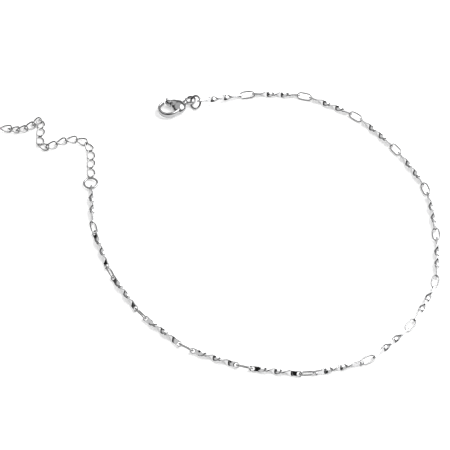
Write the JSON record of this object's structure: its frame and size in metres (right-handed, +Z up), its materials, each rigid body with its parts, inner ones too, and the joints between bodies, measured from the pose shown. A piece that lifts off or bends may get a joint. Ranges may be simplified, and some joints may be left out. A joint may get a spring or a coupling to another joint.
{
  "type": "chain anklet",
  "caption": "Open chain anklet of twisted flat bars joined by oval wire links, with a lobster clasp at one end and a fine extender chain at the other.",
  "frame": {"origin": "on the table under the middle of the whole piece's outline as it lies", "axes": "+X along the longest side of the outline, from the extender's free end towards the far side of the loop, +Z up from the table"},
  "size_m": [0.1092, 0.0906, 0.0034],
  "materials": {
    "polished_steel": "mirror polished",
    "fine_chain": "polished"
  },
  "bodies": {
    "anklet": {"bar_01": "polished_steel", "bar_02": "polished_steel", "bar_03": "polished_steel", "bar_04": "polished_steel", "bar_05": "polished_steel", "bar_06": "polished_steel", "bar_07": "polished_steel", "bar_08": "polished_steel", "bar_09": "polished_steel", "bar_10": "polished_steel", "bar_11": "polished_steel", "bar_12": "polished_steel", "bar_13": "polished_steel", "bar_14": "polished_steel", "bar_15": "polished_steel", "bar_16": "polished_steel", "oval_01": "polished_steel", "oval_02": "polished_steel", "oval_03": "polished_steel", "oval_04": "polished_steel", "oval_05": "polished_steel", "oval_06": "polished_steel", "oval_07": "polished_steel", "oval_08": "polished_steel", "oval_09": "polished_steel", "oval_10": "polished_steel", "oval_11": "polished_steel", "oval_12": "polished_steel", "oval_13": "polished_steel", "oval_14": "polished_steel", "oval_15": "polished_steel", "clasp_ring": "polished_steel", "end_ring": "polished_steel", "clasp_body": "polished_steel", "extender_chain": "fine_chain"},
    "lever": {"clasp_lever": "polished_steel"}
  },
  "joints": [
    {"name": "lever_hinge", "type": "hinge", "parent": "anklet", "child": "lever", "pos_m": [-0.00973, 0.04088, 0.00125], "axis": [0, 0, 1], "range_deg": [0, 25], "stiffness_Nm_per_rad": 0.005}
  ]
}
